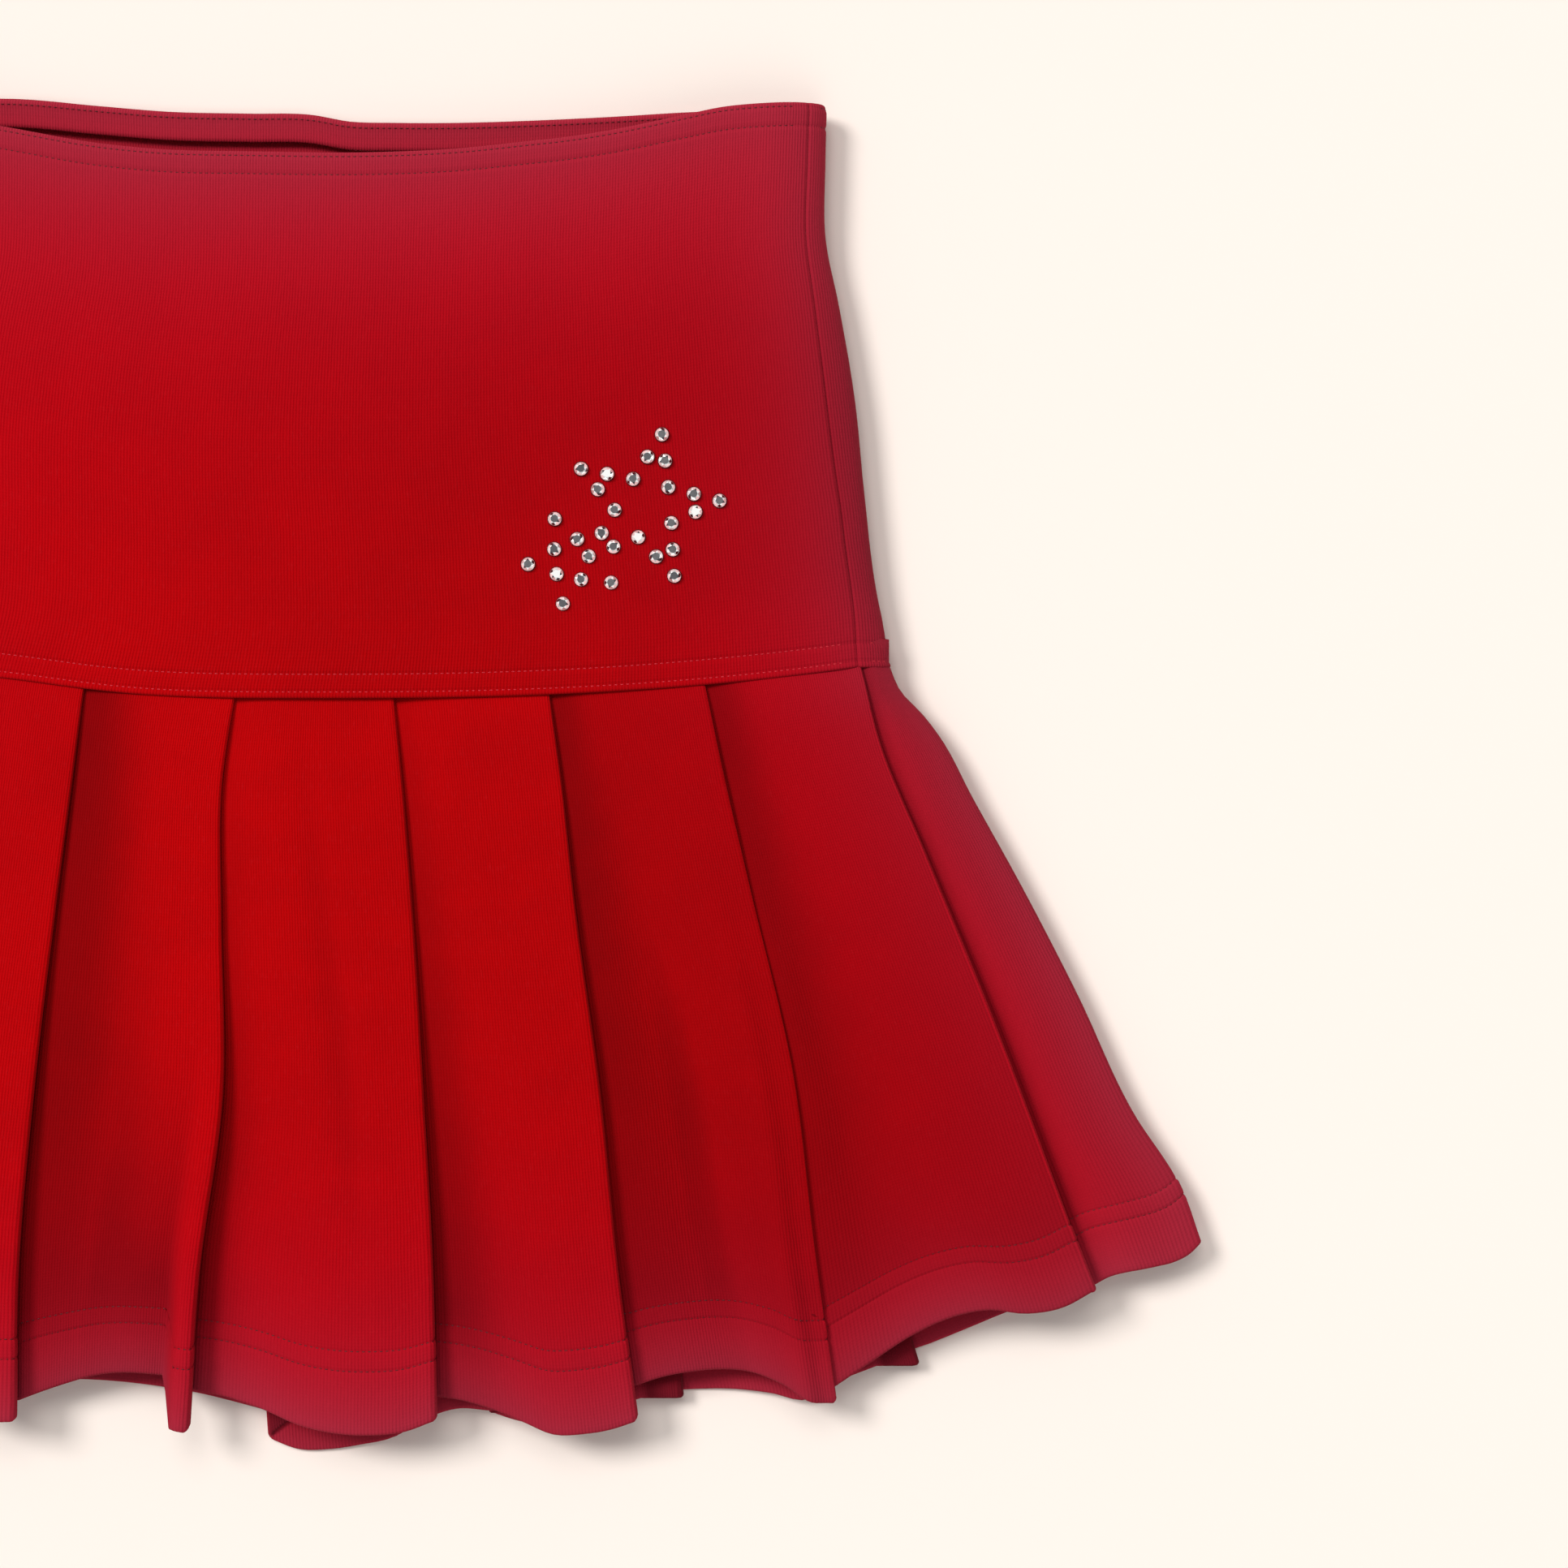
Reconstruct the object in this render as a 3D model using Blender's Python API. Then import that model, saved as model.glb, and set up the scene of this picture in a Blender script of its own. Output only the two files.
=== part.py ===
"""A pull-on cheer skirt that lies flat on its back.

A stretch-knit yoke with an elastic waist casing, a knife-pleated flounce sewn
under the yoke's lower edge, stitch rows, and two outline stars of flat-backed
stones. Metres, +Z up, +Y towards the waist. The origin is under the middle of
the skirt, on the surface that it lies on.

Front and back are half-turns of one another about the Y axis, so the knife
pleats keep turning the same way all round the skirt.
"""

import math

import bmesh
import bpy
from mathutils import Matrix

# Cloth, elastic and clearances
CLOTH = 0.0009  # thickness of the double knit
CLEARANCE = 0.0003  # between neighbouring pieces
SIDE_GAP = 0.0008  # between the front and the back piece at a side
ELASTIC_THICKNESS = 0.0012
CASING_EASE = 0.0005  # on each face of the elastic
ELASTIC_WIDTH = 0.006
CASING_DEPTH = 0.0079  # how deep the waist edge is turned in

# The skirt as it lies
HALF_HEIGHT = 0.0079  # middle plane to outer face
YOKE_LENGTH = 0.1652  # waist corner to the middle of the yoke seam
FLOUNCE_LENGTH = 0.2088  # middle of the yoke seam to the lowest hem
WAIST_HALF = 0.1424
YOKE_HALF = 0.1613
HEM_HALF = 0.2466
STRAIGHT_SIDE = 0.0375  # how far the side runs straight down from the waist
FRONT_DIP = 0.0132  # how far the waist edge dips in the middle
BACK_DIP = 0.0060
WAIST_LEVEL = 0.0224  # level stretch of waist edge between the dip and the side
SEAM_RISE = 0.0086  # how far the yoke seam rises at the sides
HEM_RISE = 0.0560  # and the hem
FRONT_HEM_LIFT = 0.0045  # the front hem lies this much higher than the back's
SEAM_FORWARD_WAIST = 0.0087  # side seam, measured round the side from its edge
SEAM_FORWARD_HIP = 0.0142

# Knife pleats
PLEATS = 7  # on each of the front and the back
PLEAT_DEPTH = 0.018
PLEAT_DEPTH_HEM = 0.011
LAYER_GAP = 0.0005  # air between a pleat's layers at the seam
LAYER_GAP_HEM = 0.0013
SIDE_RETURN = 0.0098  # last fold to the side's edge, at the seam
SIDE_RETURN_HEM = 0.0310
HEM_STEP = 0.0060  # how much higher the hem of a pleat's lowest layer lies
SEAM_ALLOWANCE = 0.0090
SEAM_TUCK = 0.0015  # the flounce stays tucked in this far below the yoke
SHOULDER = 0.0100  # and is at its full height this far below it
FOLD_EASE = 0.0020  # run of a layer past the fold above it
SIDE_TUCK = 0.0008  # the flounce's sides start this much further in than the yoke's

# Stitch rows, measured down from the waist edge or up from the yoke's edge
THREAD_RADIUS = 0.0002
WAIST_ROWS = (0.0015, 0.0070)
YOKE_ROWS = (0.0011, 0.0065)

# Stones
STONE_RADIUS = 0.0020
STONE_HEIGHT = 0.0015
STONE_SIDES = 8
TABLE_SHARE = 0.56  # the flat top's radius against the stone's
GIRDLE_HEIGHT = 0.0005

# Stars: tip radius, notch radius and the direction of the first tip
LARGE_STAR = (0.0207, 0.0085, math.radians(77))
SMALL_STAR = (0.0124, 0.0059, math.radians(113.5))
STAR_IN = 0.0695  # large star's centre, in from the yoke's lower corner
STAR_UP = 0.0520  # and up from the middle of the yoke seam
SMALL_STAR_BESIDE = 0.0201  # small star's centre, towards the middle of the skirt
SMALL_STAR_BELOW = 0.0146

# Worked out from the sizes above
TOP_Y = (YOKE_LENGTH + FLOUNCE_LENGTH) / 2
SEAM_Y = TOP_Y - YOKE_LENGTH
HEM_Y = SEAM_Y - FLOUNCE_LENGTH
SHELL_HEIGHT = HALF_HEIGHT - CLOTH / 2  # middle plane to the middle of the cloth
FOLD_RADIUS = (ELASTIC_THICKNESS + 2 * CASING_EASE + CLOTH) / 2  # of the casing
TUCKED_HEIGHT = SHELL_HEIGHT - CLOTH - CLEARANCE
DIP_HALF = WAIST_HALF - WAIST_LEVEL
LARGE_CENTRE = (YOKE_HALF - STAR_IN, SEAM_Y + STAR_UP)
SMALL_CENTRE = (LARGE_CENTRE[0] - SMALL_STAR_BESIDE, LARGE_CENTRE[1] - SMALL_STAR_BELOW)
QUARTER = math.pi / 2
LEVEL_SHARE = 0.94  # of a section's flat, which is crossed in even steps

CLOTH_RED = ("cloth_red", (0.45, 0.0, 0.004), 0.75, 0.0)
THREAD_RED = ("thread_red", (0.36, 0.0, 0.004), 0.45, 0.0)
ELASTIC_WHITE = ("elastic_white", (0.80, 0.79, 0.76), 0.80, 0.0)
STONE_SILVER = ("stone_silver", (0.80, 0.81, 0.84), 0.12, 0.6)


def clear_scene():
    for obj in list(bpy.data.objects):
        bpy.data.objects.remove(obj, do_unlink=True)


def material(spec):
    """The Principled material of this name, made on first use."""
    name, colour, roughness, metallic = spec
    found = bpy.data.materials.get(name)
    if found:
        return found
    made = bpy.data.materials.new(name)
    made.use_nodes = True
    shader = made.node_tree.nodes["Principled BSDF"]
    shader.inputs["Base Color"].default_value = (*colour, 1)
    shader.inputs["Roughness"].default_value = roughness
    shader.inputs["Metallic"].default_value = metallic
    return made


def between(low, high, share):
    return low + (high - low) * share


def place(name, data, spec, parent):
    obj = bpy.data.objects.new(name, data)
    bpy.context.scene.collection.objects.link(obj)
    obj.parent = parent
    data.materials.append(material(spec))
    return obj


def mesh_of(name, bm):
    bmesh.ops.recalc_face_normals(bm, faces=bm.faces)
    mesh = bpy.data.meshes.new(name)
    bm.to_mesh(mesh)
    bm.free()
    mesh.shade_smooth()
    mesh.set_sharp_from_angle(angle=math.radians(40))
    return mesh


def cloth_sheet(name, rows, parent):
    """Cloth of even thickness about the surface through these rows of points."""
    bm = bmesh.new()
    grid = [[bm.verts.new(point) for point in row] for row in rows]
    for above, below in zip(grid, grid[1:]):
        for a, b, c, d in zip(above, above[1:], below[1:], below):
            bm.faces.new((a, b, c, d))
    obj = place(name, mesh_of(name, bm), CLOTH_RED, parent)
    thick = obj.modifiers.new("cloth", "SOLIDIFY")
    thick.thickness = CLOTH
    thick.offset = 0
    thick.use_even_offset = True
    thick.use_quality_normals = True
    return obj


def waist_y(x, dip):
    """Height of the waist edge: level at the sides, a shallow bowl in the middle."""
    return TOP_Y - dip * max(0, 1 - (x / DIP_HALF) ** 2)


def seam_y(share):
    """Height of the yoke seam at this share of the half-width."""
    return SEAM_Y + SEAM_RISE * abs(share) ** 2.5


def hem_y(share, lift):
    return HEM_Y + lift + (HEM_RISE - lift) * abs(share) ** 3.2


def yoke_half(down):
    """Half the yoke's width, this far below the waist corner, to the middle of the cloth."""
    share = (down - STRAIGHT_SIDE) / (YOKE_LENGTH - STRAIGHT_SIDE)
    return between(WAIST_HALF, YOKE_HALF, min(1, max(0, share))) - CLOTH / 2


def side_run(half):
    """Distance round the section from its middle to the edge of the side."""
    return half - SHELL_HEIGHT + QUARTER * SHELL_HEIGHT


def section(run, half, inset):
    """(x, z) at this run from the middle of the front, round a flat loop with round sides.

    inset moves the point towards the inside of the loop.
    """
    side = math.copysign(1, run)
    run = abs(run)
    flat = half - SHELL_HEIGHT
    radius = SHELL_HEIGHT - inset
    if run <= flat:
        return side * run, radius
    turned = (run - flat) / SHELL_HEIGHT
    if turned <= math.pi:
        return side * (flat + radius * math.sin(turned)), radius * math.cos(turned)
    back = flat - (run - flat - math.pi * SHELL_HEIGHT)
    return side * back, -radius


def steps(start, end, count):
    """Even steps from start, which is left out, to end, which is in."""
    return [between(start, end, (i + 1) / count) for i in range(count)]


def yoke_runs(half, forward):
    """The runs across a yoke piece, from its left side seam to its right one.

    The right seam lies forward of the side's edge, and the left one behind it.
    """
    level = LEVEL_SHARE * (half - SHELL_HEIGHT)
    left = -side_run(half) - forward + SIDE_GAP / 2
    right = side_run(half) - forward - SIDE_GAP / 2
    return [left] + steps(left, -level, 12) + steps(-level, level, 12) + steps(level, right, 4)


def yoke_courses():
    """(distance below the waist edge, inset, share of the way to the seam), inside first."""
    courses = [(CASING_DEPTH, 2 * FOLD_RADIUS, 0)]
    for angle in (-90, -30, 30, 90):
        turn = math.radians(angle)
        down = FOLD_RADIUS * (1 - math.cos(turn)) + CLOTH / 2
        courses.append((down, FOLD_RADIUS * (1 - math.sin(turn)), 0))
    straight = STRAIGHT_SIDE / YOKE_LENGTH
    courses += [(0, 0, share) for share in [straight] + steps(straight, 1, 3)]
    return courses


def yoke(name, dip, parent):
    """One half of the yoke, with its waist edge turned in as a casing."""
    rows = []
    for down, inset, share in yoke_courses():
        half = yoke_half(down + share * YOKE_LENGTH)
        forward = between(SEAM_FORWARD_WAIST, SEAM_FORWARD_HIP, share)
        row = []
        for run in yoke_runs(half, forward):
            x, z = section(run, half, inset)
            top = waist_y(x, dip) - down
            row.append((x, between(top, seam_y(x / half), share), z))
        rows.append(row)
    return cloth_sheet(name, rows, parent)


def fold_arc(x, z, radius, way):
    """Four points round a fold about (x, z), from above it to below it."""
    turns = [math.radians(angle) for angle in (90, 30, -30, -90)]
    return [(x + way * radius * math.cos(t), z + radius * math.sin(t)) for t in turns]


def side_arc(half, radius):
    """Points from the edge of the left side up to the flat of the innermost layer."""
    turns = steps(0, QUARTER, 4)
    rise = [(radius - half - radius * math.cos(t), radius * math.sin(t)) for t in turns]
    return [(-half, SIDE_GAP / 2)] + rise


def pleat_sizes(share):
    """Half-width, last fold, depth, layer pitch and outermost height at this share down."""
    ramp = (share * FLOUNCE_LENGTH - SEAM_TUCK) / (SHOULDER - SEAM_TUCK)
    outer = between(TUCKED_HEIGHT, SHELL_HEIGHT, min(1, max(0, ramp)))
    top_half = YOKE_HALF - 1.5 * CLOTH - CLEARANCE - SIDE_TUCK
    half = between(top_half, HEM_HALF - CLOTH / 2, share)
    last = between(YOKE_HALF - SIDE_RETURN, HEM_HALF - SIDE_RETURN_HEM, share)
    depth = between(PLEAT_DEPTH, PLEAT_DEPTH_HEM, share)
    pitch = CLOTH + between(LAYER_GAP, LAYER_GAP_HEM, max(0, share))
    return half, last, depth, pitch, outer


def pleated_course(share):
    """(x, z) along the flounce's front from side to side, through every pleat.

    Each panel starts as the lowest of three layers, climbs to be the topmost, turns
    under at its fold, runs back by the pleat's depth and turns again into the next.
    """
    half, last, depth, pitch, outer = pleat_sizes(share)
    low = outer - 2 * pitch
    bend = pitch / 2
    points = side_arc(half, low)
    for pleat in range(PLEATS):
        before, fold = (last * (2 * (pleat + i) / PLEATS - 1) for i in (0, 1))
        points.append((before + FOLD_EASE, low))
        points.append((fold - depth - FOLD_EASE, outer))
        points += fold_arc(fold - bend, outer - bend, bend, 1)
        points += fold_arc(fold - depth + bend, low + bend, bend, -1)
    points += [(-x, z) for x, z in reversed(side_arc(half, low))]
    return points, half, low, outer


def flounce(name, lift, parent):
    """The pleated strip, from its allowance inside the yoke down to the hem."""
    first = -SEAM_ALLOWANCE / FLOUNCE_LENGTH
    tuck = SEAM_TUCK / FLOUNCE_LENGTH
    shoulder = SHOULDER / FLOUNCE_LENGTH
    rows = []
    for share in [first, tuck, shoulder] + steps(shoulder, 1, 3):
        points, half, low, outer = pleated_course(share)
        row = []
        for x, z in points:
            layer = max(0, min(1, (z - low) / (outer - low)))
            step = HEM_STEP * (1 - layer) * max(0, share)
            y = between(seam_y(x / half), hem_y(x / half, lift), share) + step
            row.append((x, y, z))
        rows.append(row)
    return cloth_sheet(name, rows, parent)


def waist_elastic(parent):
    """A closed band inside the casing, following its dips front and back."""
    half = yoke_half(0)
    flat = half - SHELL_HEIGHT
    turn = math.pi * SHELL_HEIGHT
    runs = steps(-flat, flat, 12) + steps(flat, flat + turn, 10)
    mid = FOLD_RADIUS
    insets = (mid - ELASTIC_THICKNESS / 2, mid + ELASTIC_THICKNESS / 2)
    bm = bmesh.new()
    rings = []
    for way, dip in ((1, FRONT_DIP), (-1, BACK_DIP)):
        for run in runs:
            ring = []
            for inset, down in zip((insets[0], insets[0], insets[1], insets[1]), (0, 1, 1, 0)):
                x, z = section(run, half, inset)
                top = waist_y(x, dip) - FOLD_RADIUS - CLOTH / 2
                ring.append(bm.verts.new((way * x, top - down * ELASTIC_WIDTH, way * z)))
            rings.append(ring)
    for ring, after in zip(rings, rings[1:] + rings[:1]):
        for i in range(4):
            k = (i + 1) % 4
            bm.faces.new((ring[i], ring[k], after[k], after[i]))
    return place("waist_elastic", mesh_of("waist_elastic", bm), ELASTIC_WHITE, parent)


def stitch_row(name, rows_at, parent):
    """A thread along the front of the yoke; rows_at gives (half, forward, y of x)."""
    half, forward, height = rows_at
    reach = side_run(half) - forward - 4 * CLEARANCE
    proud = -CLOTH / 2 - CLEARANCE - THREAD_RADIUS
    curve = bpy.data.curves.new(name, "CURVE")
    curve.dimensions = "3D"
    curve.bevel_depth = THREAD_RADIUS
    curve.bevel_resolution = 1
    curve.use_fill_caps = True
    points = []
    for run in [-reach] + steps(-reach, reach, 26):
        x, z = section(run, half, proud)
        points.append((x, height(x), z, 1))
    spline = curve.splines.new("POLY")
    spline.points.add(len(points) - 1)
    for knot, point in zip(spline.points, points):
        knot.co = point
    return place(name, curve, THREAD_RED, parent)


def waist_row(name, down, parent):
    half = yoke_half(down)
    rows_at = (half, SEAM_FORWARD_WAIST, lambda x: waist_y(x, FRONT_DIP) - down)
    return stitch_row(name, rows_at, parent)


def yoke_row(name, up, parent):
    half = yoke_half(YOKE_LENGTH - up)
    rows_at = (half, SEAM_FORWARD_HIP, lambda x: seam_y(x / half) + up)
    return stitch_row(name, rows_at, parent)


def star_points(centre, star):
    """The corners of a star outline, tips and notches in turn, and the midpoints between."""
    cx, cy = centre
    tip, notch, first = star
    corners = []
    for i in range(10):
        radius = notch if i % 2 else tip
        angle = first + i * math.pi / 5
        corners.append((cx + radius * math.cos(angle), cy + radius * math.sin(angle)))
    middles = [
        ((a[0] + b[0]) / 2, (a[1] + b[1]) / 2)
        for a, b in zip(corners, corners[1:] + corners[:1])
    ]
    return corners, middles


def stone_centres():
    """The large star whole, then the corners of the small one that don't fall on it."""
    corners, middles = star_points(LARGE_CENTRE, LARGE_STAR)
    placed = corners + middles
    for x, y in star_points(SMALL_CENTRE, SMALL_STAR)[0]:
        if all(math.hypot(x - a, y - b) > 2 * STONE_RADIUS for a, b in placed):
            placed.append((x, y))
    return placed


def stone_mesh():
    """A flat-backed stone: a low girdle and a faceted crown round a flat table."""
    rings = (
        (0, STONE_RADIUS),
        (GIRDLE_HEIGHT, STONE_RADIUS),
        (STONE_HEIGHT, TABLE_SHARE * STONE_RADIUS),
    )
    bm = bmesh.new()
    below = None
    for height, radius in rings:
        level = Matrix.Translation((0, 0, height))
        ring = bmesh.ops.create_circle(bm, segments=STONE_SIDES, radius=radius, matrix=level)
        edges = list({edge for vert in ring["verts"] for edge in vert.link_edges})
        if below:
            bmesh.ops.bridge_loops(bm, edges=below + edges)
        below = edges
    bmesh.ops.holes_fill(bm, edges=bm.edges, sides=STONE_SIDES)
    bmesh.ops.recalc_face_normals(bm, faces=bm.faces)
    mesh = bpy.data.meshes.new("stone")
    bm.to_mesh(mesh)
    bm.free()
    return mesh


def stones(parent):
    for number, (x, y) in enumerate(stone_centres(), 1):
        stone = place(f"rhinestone_{number:02d}", stone_mesh(), STONE_SILVER, parent)
        stone.location = (x, y, HALF_HEIGHT + CLEARANCE)
        stone.rotation_euler = (0, 0, math.radians(37 * number))


def frames():
    """The middle plane of the skirt, and the same plane turned over for the back."""
    middle = bpy.data.objects.new("middle", None)
    turned = bpy.data.objects.new("turned", None)
    for empty in (middle, turned):
        bpy.context.scene.collection.objects.link(empty)
    middle.location.z = HALF_HEIGHT
    turned.parent = middle
    turned.rotation_euler.y = math.pi
    return middle, turned


def main():
    clear_scene()
    front, back = frames()
    yoke("yoke_front", FRONT_DIP, front)
    yoke("yoke_back", BACK_DIP, back)
    flounce("flounce_front", FRONT_HEM_LIFT, front)
    flounce("flounce_back", 0, back)
    waist_elastic(front)
    waist_row("waist_stitch_upper", WAIST_ROWS[0], front)
    waist_row("waist_stitch_lower", WAIST_ROWS[1], front)
    yoke_row("yoke_stitch_lower", YOKE_ROWS[0], front)
    yoke_row("yoke_stitch_upper", YOKE_ROWS[1], front)
    stones(front)


main()
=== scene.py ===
"""Looks of a pull-on cheer skirt that lies flat on its back.

A yoke of red double knit with an elastic waist casing, a knife-pleated flounce with a
turned and coverstitched hem, stitch rows, and two outline stars of foiled crystal stones.
Metres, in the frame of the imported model: +Y towards the waist, +Z out of the front.

Front and back are made by the same functions. The back is the half-turn of a front about
the Y axis through the skirt's middle plane, so the knife pleats keep turning the same way.
"""

import math

import bpy
import numpy as np
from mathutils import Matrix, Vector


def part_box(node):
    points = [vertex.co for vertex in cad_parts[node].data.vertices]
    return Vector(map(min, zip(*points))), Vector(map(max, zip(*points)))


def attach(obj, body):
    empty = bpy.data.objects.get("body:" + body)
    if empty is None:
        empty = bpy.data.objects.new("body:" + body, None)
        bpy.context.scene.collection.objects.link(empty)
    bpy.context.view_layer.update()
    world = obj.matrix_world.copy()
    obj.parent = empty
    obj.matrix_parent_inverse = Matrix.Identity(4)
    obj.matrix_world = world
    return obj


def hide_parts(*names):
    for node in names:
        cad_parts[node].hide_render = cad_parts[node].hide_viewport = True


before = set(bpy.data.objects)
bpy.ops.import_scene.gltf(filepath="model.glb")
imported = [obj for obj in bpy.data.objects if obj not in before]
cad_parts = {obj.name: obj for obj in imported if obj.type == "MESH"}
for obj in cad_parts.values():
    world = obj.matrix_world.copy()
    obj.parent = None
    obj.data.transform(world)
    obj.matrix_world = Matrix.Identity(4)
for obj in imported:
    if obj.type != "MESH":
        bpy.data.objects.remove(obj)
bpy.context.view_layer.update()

MM = 0.001

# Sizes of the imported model
YOKE_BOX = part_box("yoke_front")
TOP_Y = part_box("yoke_back")[1].y
YOKE_HALF = YOKE_BOX[1].x
MIDDLE = YOKE_BOX[1].z / 2  # height of the middle plane
CLOTH = 0.9 * MM
YOKE_LENGTH = 165.2 * MM  # waist corner to the middle of the yoke seam
SHELL = MIDDLE - CLOTH / 2  # middle plane to the middle of the cloth
SEAM_Y = TOP_Y - YOKE_LENGTH
FLOUNCE_LENGTH = 208.8 * MM

# Flat loop of the skirt: a half-ellipse at each side
CORNER = 17 * MM
TURN = np.linspace(0, math.pi, 361)
TURN_STEPS = np.hypot(np.diff(CORNER * np.sin(TURN)), np.diff(SHELL * np.cos(TURN)))
TURN_LENGTH = np.concatenate([[0], np.cumsum(TURN_STEPS)])
SIDE_LENGTH = TURN_LENGTH[-1] / 2

# Yoke. Knots are (share of the way from waist to seam, millimetres)
SIDE_OF_YOKE = (
    (0, 142.3), (0.1, 141.9), (0.24, 142.0), (0.355, 145.6),
    (0.53, 150.2), (0.69, 152.7), (0.89, 156.8), (1, 161.2),
)
SEAM_IN = (
    (0, 4.6), (0.1, 4.7), (0.24, 5.2), (0.37, 6.7), (0.53, 7.9), (0.76, 6.9), (0.89, 7.0), (1, 9.6),
)
SEAM_GAP = 0.2 * MM
SEAM_RISE = 8.6 * MM
SEAM_POWER = 2.5  # of its curve towards the sides
SEAM_LIFT = (3.7 * MM, -95 * MM, 35 * MM)  # height, place and width of a lift at the left
CURL = 0.28 * MM  # how deep the cloth dives into the side seam
CURL_REACH = 1.3 * MM
CASING_FOLD = 1.25 * MM
CASING_DEPTH = 8.3 * MM
EDGE_FOLD = 0.3 * MM  # of the yoke's lower edge
WAIST_ROWS = (1.5 * MM, 7.0 * MM)
YOKE_ROWS = (1.1 * MM, 6.5 * MM)
SEAM_SINK = 1.1 * MM  # how far the yoke is pulled in where it meets the flounce
SINK_FROM = 0.9  # share of the yoke's length at which that starts
GROOVE = 0.34 * MM
GROOVE_WIDTH = 0.6 * MM
# Soft rolls of the front yoke: metres across and down for one radian, phase and weight
ROLLS = ((0.031, 0.045, 0.6, 1), (0.052, -0.023, 2, 0.7), (0.013, 0.09, 1, 0.6))
ROLL_HEIGHT = 0.35 * MM
YOKE_COLUMNS = 200
YOKE_BUNCH = 0.11  # how far the columns crowd towards the seams
INNER_ROWS = 8
TUCK_ROWS = 4
PAINTED_SHEEN_DOWN = 0.65  # the painted sheen below the waist reaches further than at the sides

# Waist edges: knots are (x, y below the top) in millimetres
FRONT_WAIST = (
    (-150, 0), (-128, -1), (-110, -3), (-85, -7.4), (-62, -11.5), (-42, -13.5), (-20, -14.0),
    (19, -14.2), (39, -13.3), (59, -11.3), (70, -10.1), (84, -7.9), (102, -4.1), (113, -1.8),
    (129, -0.4), (150, 0),
)
BACK_WAIST = (
    (-150, 0), (-120, 1.5), (-85, 2.8), (-62, 0.8), (-42, -0.8), (-20, -1.3), (-2, -1.7), (8, -3.5),
    (21, -3.9), (39, -3.9), (59, -3.3), (84, -2.1), (102, -1.0), (118, -0.4), (150, 0),
)

# Flounce. Each fold's x in millimetres at these shares of the way from seam to hem
FOLD_SHARES = (0, 0.12, 0.3, 0.55, 0.8, 1)
FRONT_FOLDS = (
    (-108.2, -112, -119, -131, -145, -158),
    (-64.6, -67.5, -72.2, -78.1, -82.4, -83.0),
    (-22.7, -26.1, -26.3, -25.9, -32.4, -34.9),
    (21.4, 23.9, 26.8, 29.9, 32.6, 33.5),
    (64.6, 68.0, 72.0, 78.8, 83.9, 89.1),
    (107.8, 112.7, 120.8, 132.3, 138.6, 144.2),
    (151.2, 156.4, 169.4, 187.4, 203.6, 216.2),
)
BACK_FOLDS = (
    (-108.2, -112, -119, -131, -143, -156),
    (-64.6, -67, -71, -78, -85, -90),
    (-21.6, -23, -27, -34, -42, -48),
    (21.6, 21.5, 21, 19.5, 17, 14),
    (64.6, 66, 69, 73, 77, 80),
    (108.2, 112, 119, 128, 136, 142),
    (151.2, 156.4, 169.4, 187.4, 203.6, 216.2),
)
SIDE_OF_FLOUNCE = (
    (0, 159.2), (0.05, 163.0), (0.085, 168.5), (0.12, 172.9), (0.23, 182.6), (0.38, 196.0),
    (0.57, 211.8), (0.78, 227.8), (0.9, 240.2), (1, 246.1),
)
# Hem of each panel, y in millimetres at these shares of the way across it
HEM_SHARES = (0, 0.15, 0.3, 0.45, 0.6, 0.75, 0.9, 1)
FRONT_HEM = (
    (-130.5, -140, -149, -156, -162, -166.5, -169.5, -168.5),
    (-162, -163, -164, -165, -168, -173, -178.5, -178.6),
    (-173.7, -171, -168.6, -166.6, -165.6, -165.6, -166.3, -167.0),
    (-171.2, -173, -176, -180, -182, -182.4, -181.2, -178.7),
    (-172.6, -173.9, -176.2, -179.3, -182.5, -182.3, -180.9, -179.1),
    (-169.6, -167, -165.6, -165.2, -166, -169, -173.7, -174.1),
    (-169.9, -162.6, -155.5, -150.3, -147.9, -148.8, -146.8, -142.9),
    (-141.8, -139.3, -138, -137.2, -136.4, -135.4, -133.2, -130.5),
)
BACK_HEM = (
    (-130.5, -136, -141, -146, -150.5, -156, -161, -162.5),
    (-165, -169, -174.7, -173, -172, -172, -172.6, -173.4),
    (-174, -176, -179, -180.8, -181.6, -181.7, -180.3, -178.9),
    (-177.5, -177, -180, -185.4, -187.6, -189, -188.8, -186.5),
    (-177.5, -175, -172.8, -171.3, -170.2, -169.5, -169.2, -169),
    (-168, -168, -167.5, -167, -166.5, -166, -165.5, -165),
    (-163, -160, -157, -153.5, -150, -147, -144, -141.5),
    (-141.8, -139.3, -138, -137.2, -136.4, -135.4, -133.2, -130.5),
)
PLAIN_HEM = (6 * MM, 50 * MM, 3.2)  # hem without waves: its lift, further lift at the sides, and power
TONGUE = (2, 0.895, 0.026, -14.5)  # panel, place across it, width of its side, drop in millimetres
# Height of each fold's crest and of the cloth under it at the hem, millimetres from the middle plane
FRONT_CREST = (8.6, 9.6, 10.2, 9.4, 7.8, 5.4, 8.6)
FRONT_LOW = (1.6, 2.8, 0.8, 2.6, 2.2, 3.2, 2.6)
BACK_CREST = (7.15,) * 7
BACK_LOW = (3.0,) * 7
SEAM_CREST = 4.9
SEAM_LOW = 3.3
# Painted shade beside each fold, a darker red where shade falls: strength at seam and hem, reach at seam and hem in
# millimetres
FRONT_PAINTED_SHADE = (
    (0.7, 0.5, 12, 28), (0.85, 0.8, 14, 38), (0.0, 0.75, 5, 12), (0.15, 1.0, 5, 19),
    (0.8, 0.5, 9, 22), (0.8, 0.35, 10, 24), (0.5, 0.55, 3, 4.5),
)
BACK_PAINTED_SHADE = ((0.4, 0.25, 6, 16),) * 7
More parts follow.
